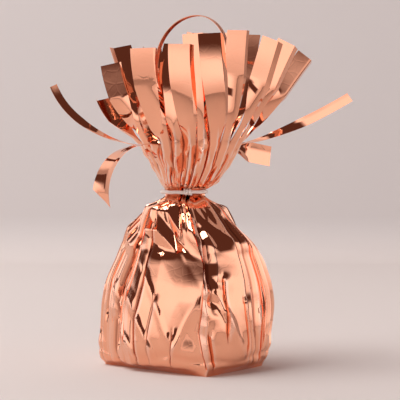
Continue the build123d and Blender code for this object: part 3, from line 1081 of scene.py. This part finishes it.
# %% [markdown]
# ## The fringe
# Above the rim the film is slit into 22 strips. Each starts as its own pleat of the collar, opens within
# a centimetre or two of the rim, and then leans, curls and twists its own way: four have come loose from
# the fan. A strip could be a plain band, but a narrow side that is bent back keeps real film stiff and
# gives it a second, darker face. One grid is laid along each strip's line.

# %% The strips' ways
STRIP_LENGTH = 0.050
STRIP_WIDTH = 0.0106
STRIP_WIDTH_SHARES = (0.90, 1.12)
FOLD_ANGLES = (35.0, 65.0)
FOLD_SHARES = (0.16, 0.34)
STRIP_WAVE = (0.00003, 0.00012)
WAVE_TURNS = (7, 14)
WAVE_STARTS = (0, 6)
STRIP_SEED = 100
PLEAT_WIDTH = 0.0057
WIDENING_POWER = 0.7
SLANT_SHARES = (-0.10, 0.10)
SLANT_POWER = 6
# The loose strips' widths as shares, and the slant of the one that ends in a point
LOOSE_SHARES = {6: 0.36, 8: 0.80, 16: 0.38, 18: 0.85}
LOOSE_FOLD_SHARE = 0.15
POINTED_SHARES = {18: 0.7}
STRIP_ROWS = 36
STRIP_COLUMNS = COLUMNS_PER_PLEAT + 1
COLLAR_START = 3
COLLAR_LAP = 0.00012
FLARE_SHARE = 0.60
ROOT_HEIGHT = 0.0945
OPENINGS = (0.007, 0.020)
STRIP_THICKNESS = 0.00012
# Each strip: lean at its root and its tip, turn aside and twist, in degrees, and length as a share
FRINGE_SHARES = [
    (4, -6, 10, -22, 0.91), (19, -14, -14, -4, 0.92), (12, 6, 30, -72, 0.95), (28, 18, 36, -92, 0.96),
    (32, 28, 28, -96, 1.01), (45, 38, 14, -88, 1.04), (76, 60, -8, 84, 1.19), (22, 12, 0, 30, 1.06),
    (94, 99, -22, 84, 0.64), (18, 6, -40, 34, 1.06), (4, 12, -60, 44, 1.05), (28, 10, 0, -10, 0.88),
    (2, 16, 0, -12, 0.92), (32, 10, 0, -28, 0.88), (6, 20, 0, -40, 0.92), (46, 20, 4, -52, 0.50),
    (84, 22, 0, -58, 0.90), (26, 8, -40, 96, 0.74), (80, 190, 10, 0, 0.75), (14, 1, -10, 40, 0.80),
    (4, -24, -10, 16, 0.86), (10, -7, -8, 6, 0.82),
]


def strip_line(number):
    """A strip's middle line, the way along it and the way across it, row by row."""
    lean_root, lean_tip, aside, twist, length_share = FRINGE_SHARES[number]
    bearing = pleat_bearing(number)
    aim = bearing + math.radians(aside)
    out = np.array([math.cos(aim), math.sin(aim), 0.0])
    across = np.array([-math.sin(aim), math.cos(aim), 0.0])
    root = np.array([RIM_HALF_LENGTH * math.cos(bearing), RIM_HALF_WIDTH * math.sin(bearing), ROOT_HEIGHT])
    shares = np.linspace(0, 1, STRIP_ROWS)
    lean = np.radians(lean_root + (lean_tip - lean_root) * shares)
    radius = length_share * STRIP_LENGTH / math.radians(lean_tip - lean_root)
    reach = radius * (math.cos(lean[0]) - np.cos(lean))
    rise = radius * (np.sin(lean) - math.sin(lean[0]))
    line = root + reach[:, None] * out + rise[:, None] * np.array(UP)
    line = line + SWAY * (RIM_SWAY * (1 - eased(shares)))[:, None]
    along = np.sin(lean)[:, None] * out + np.cos(lean)[:, None] * np.array(UP)
    turn = np.radians(twist) * np.minimum(1, shares / FLARE_SHARE)
    side = np.cos(turn)[:, None] * across + np.sin(turn)[:, None] * np.cross(along, across)
    return shares * length_share * STRIP_LENGTH, line, along, side


def collar_grid(number, columns):
    """The strip's own pleat of the collar, from just above the tie to the rim, laid over the film."""
    phase = np.mod(number + columns - film_phase[0], PLEATS) + film_phase[0]
    lapped = np.append(film_phase, film_phase[0] + PLEATS)
    rows = []
    for ring in collar_rings:
        lapped_ring = np.concatenate([ring, ring[:1]])
        rows.append(np.stack([np.interp(phase, lapped, lapped_ring[:, axis]) for axis in range(4)], axis=1))
    grid, marks = np.split(np.array(rows), [3], axis=2)
    outward = unit((grid - SWAY * NECK_SWAY) * (1.0, 1.0, 0.0))
    return grid + outward * COLLAR_LAP, marks[:, :, 0]


def tongue_points(number, columns, chance):
    """A strip's free part: a wide face and a narrow side that is bent back, along the strip's line."""
    distance, line, along, side = strip_line(number)
    gone = distance / distance[-1]
    width = PLEAT_WIDTH + (STRIP_WIDTH - PLEAT_WIDTH) * np.minimum(1, gone / FLARE_SHARE) ** WIDENING_POWER
    width = width * chance.uniform(*STRIP_WIDTH_SHARES)
    fold_angle = math.radians(chance.uniform(*FOLD_ANGLES))
    if number in LOOSE_SHARES:
        width, fold_angle = width * LOOSE_SHARES[number], fold_angle * LOOSE_FOLD_SHARE
    bent = np.maximum(0, columns - chance.uniform(*FOLD_SHARES))
    flat = columns - bent * (1 - math.cos(fold_angle))
    sunk = bent * math.sin(fold_angle)
    swell = chance.uniform(*STRIP_WAVE)
    turn = distance / STRIP_LENGTH * chance.uniform(*WAVE_TURNS)
    ripple = swell * np.sin(turn + chance.uniform(*WAVE_STARTS))
    inward = np.cross(along, side)
    tongue = line[:, None] + side[:, None] * (flat[None, :, None] * width[:, None, None])
    tongue = tongue + inward[:, None] * (sunk[None, :] * width[:, None] + ripple[:, None])[:, :, None]
    slant = columns * STRIP_WIDTH * POINTED_SHARES.get(number, chance.uniform(*SLANT_SHARES))
    return tongue + along[:, None] * (slant[None, :] * gone[:, None] ** SLANT_POWER)[:, :, None]


def strip_points(number):
    """A strip's grid and its fold marks: its pleat of the collar, opening into its tongue above the rim."""
    columns = np.linspace(-0.5, 0.5, STRIP_COLUMNS)
    chance = np.random.default_rng(STRIP_SEED + number)
    distance, line, along, side = strip_line(number)
    tongue = tongue_points(number, columns, chance)
    pleat = rim_points(number + columns)[None] + (line - line[0])[:, None]
    free = eased(distance / chance.uniform(*OPENINGS))[:, None, None]
    collar, marks = collar_grid(number, columns)
    marks = np.concatenate([marks, marks[-1] * (1 - free[1:, :, 0])])
    return np.concatenate([collar, ((1 - free) * pleat + free * tongue)[1:]]), marks


collar_rings = np.concatenate([film_points, film_marks[:, :, None]], axis=2)[BODY_ROWS + COLLAR_START:]
print("strips", len(FRINGE_SHARES), "collar rows", len(collar_rings))

# %% The strips
BLEND_BELOW = 0.0008
BLEND_ABOVE = 0.0060
STRIP_SMOOTH_ANGLE = 20
for number in range(PLEATS):
    body = f"strip_{number + 1:02d}"
    grid, marks = strip_points(number)
    strip = new_piece(f"{body}_film", grid, grid_faces(len(grid), STRIP_COLUMNS), STRIP_FOIL)
    mark_folds(strip, marks)
    apply_modifier(strip, "SOLIDIFY", thickness=STRIP_THICKNESS, offset=0.0)
    smooth_faces(strip, STRIP_SMOOTH_ANGLE)
    distance, line, along, side = strip_line(number)
    line[0] - along[0] * BLEND_BELOW
    line[0] + along[0] * BLEND_ABOVE
    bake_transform(strip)
    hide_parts(f"fringe_{body}")

# %% [markdown]
# ## The tie
# The neck is held by one turn of a pale, silvery cord with a small wrapped knot in front.
# A plain ring would look moulded, so the cord rises and falls a little on its way round,
# and a thinner strand is coiled over it for the knot.

# %% The cord and its knot
TIE_RADIUS = 0.00960
CORD_RADIUS = 0.00080
KNOT_CORD_RADIUS = 0.00050
STRAND_RESOLUTION = 2
TIE_POINTS = 240
# A wave of the cord: its reach, its turns round the neck and its start
TIE_SIDE_WAVE = (0.00015, 7, 0.0)
TIE_LIFT_WAVES = [(0.00020, 2, 0.6), (0.00010, 9, 0.0)]
KNOT_POINTS = 120
KNOT_BEARING = math.radians(-43)
KNOT_TURNS = 2.75
KNOT_LENGTH = 0.0030
KNOT_RADIUS = 0.00100
KNOT_STANDOFF = 0.0002
TIE_CENTRE = np.array([0.0, 0.0, TIE_HEIGHT]) + SWAY * NECK_SWAY
SILVER_COLOUR = (1.0, 0.955, 0.915, 1.0)
SILVER_DEEP = (0.86, 0.76, 0.70, 1.0)
SILVER_METALLIC = 0.25
SILVER_ROUGHNESS = 0.25
GLINT_SCALE = 260.0
GLINT_DETAIL = 2.0
GLINT_DEPTH = 0.0001
GLINT_BUMP = 0.1
GLINT_ROUGHNESS = 0.1

silver = new_finish("silver_twine")
glint = silver.noise(silver.place(), GLINT_SCALE, GLINT_DETAIL)
silver_bump = silver.bump(glint, GLINT_DEPTH, GLINT_BUMP)
silver_twine = silver.surface({
    "Base Color": silver.mix(glint, SILVER_DEEP, SILVER_COLOUR),
    "Metallic": SILVER_METALLIC,
    "Roughness": glint * GLINT_ROUGHNESS + SILVER_ROUGHNESS,
    "Normal": silver_bump,
})


def strand(points, radius, closed):
    """A round strand along a line of points, as a mesh."""
    curve = bpy.data.curves.new("strand", "CURVE")
    curve.dimensions = "3D"
    curve.bevel_depth = radius
    curve.bevel_resolution = STRAND_RESOLUTION
    curve.use_fill_caps = True
    spline = curve.splines.new("POLY")
    spline.points.add(len(points) - 1)
    spline.points.foreach_set("co", np.concatenate([points, np.ones((len(points), 1))], axis=1).ravel())
    spline.use_cyclic_u = closed
    holder = bpy.data.objects.new("strand", curve)
    bpy.context.scene.collection.objects.link(holder)
    choose(holder)
    bpy.ops.object.convert(target="MESH")
    return bpy.context.object


def wave(turn, reach, turns, start):
    """How far a wave of the cord stands off at each turn round the neck."""
    return reach * np.sin(turns * turn + start)


def ring_strand():
    """The cord's way round the neck."""
    turn = np.linspace(0, 2 * math.pi, TIE_POINTS, endpoint=False)
    radius = TIE_RADIUS + wave(turn, *TIE_SIDE_WAVE)
    lift = sum(wave(turn, *lifted) for lifted in TIE_LIFT_WAVES)
    return TIE_CENTRE + np.stack([radius * np.cos(turn), radius * np.sin(turn), lift], axis=1)


def knot_strand():
    """A coil over the cord, in front."""
    share = np.linspace(0, 1, KNOT_POINTS)
    wind = share * KNOT_TURNS * 2 * math.pi
    out = np.array([math.cos(KNOT_BEARING), math.sin(KNOT_BEARING), 0.0])
    across = np.array([-math.sin(KNOT_BEARING), math.cos(KNOT_BEARING), 0.0])
    middle = TIE_CENTRE + out * (TIE_RADIUS + KNOT_STANDOFF)
    line = middle + across * ((share - 0.5) * KNOT_LENGTH)[:, None]
    rise = np.array(UP) * (KNOT_RADIUS * np.sin(wind))[:, None]
    return line + out * (KNOT_RADIUS * np.cos(wind))[:, None] + rise


tie_strands = [strand(ring_strand(), CORD_RADIUS, True), strand(knot_strand(), KNOT_CORD_RADIUS, False)]
choose(*tie_strands)
bpy.ops.object.join()
tie = tie_strands[0]
tie.name = "twine_tie"
tie.data.materials.clear()
tie.data.materials.append(silver_twine)
smooth_faces(tie, SMOOTH_ANGLE)
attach(tie, "weight")
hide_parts("neck_tie")
print("tie faces", len(tie.data.polygons))

# %% [markdown]
# ## The base card
# A card keeps the base flat and its corners square. Its solid has the right shape, so it stays
# and only gets its finish: grey board with fibres.

# %% The card's finish
BOARD_COLOUR = (0.52, 0.49, 0.45, 1.0)
BOARD_FIBRE = (0.40, 0.37, 0.34, 1.0)
BOARD_ROUGHNESS = 0.9
FIBRE_SCALE = 700.0
FIBRE_DETAIL = 4.0
FIBRE_DEPTH = 0.0002
FIBRE_BUMP = 0.3
board = new_finish("grey_board")
fibre = board.noise(board.place(), FIBRE_SCALE, FIBRE_DETAIL)
fibre_bump = board.bump(fibre, FIBRE_DEPTH, FIBRE_BUMP)
board_finish = board.surface({
    "Base Color": board.mix(fibre, BOARD_COLOUR, BOARD_FIBRE),
    "Roughness": BOARD_ROUGHNESS,
    "Normal": fibre_bump,
})
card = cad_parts["base_card"]
card.data.materials.clear()
card.data.materials.append(board_finish)
print("card faces", len(card.data.polygons))
